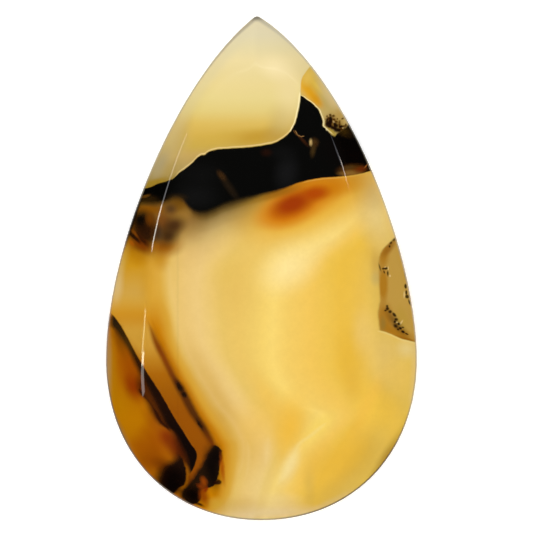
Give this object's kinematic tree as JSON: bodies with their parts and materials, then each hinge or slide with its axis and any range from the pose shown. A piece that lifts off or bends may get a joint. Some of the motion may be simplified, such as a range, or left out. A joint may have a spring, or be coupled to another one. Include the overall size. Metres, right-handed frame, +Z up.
{
  "type": "agate cabochon",
  "caption": "Pear-shaped polished agate cabochon with a flat back, a bevelled girdle and a low domed top, for setting in jewellery.",
  "frame": {"origin": "on the flat back, under the middle of the stone's length and width", "axes": "+Y along the stone's length towards the pointed tip, +Z up out of the domed top, +X to the right seen from above with the tip away from the viewer"},
  "size_m": [0.0246, 0.04, 0.0052],
  "materials": {
    "agate": "polished"
  },
  "bodies": {
    "root": {"cabochon": "agate"}
  },
  "joints": []
}
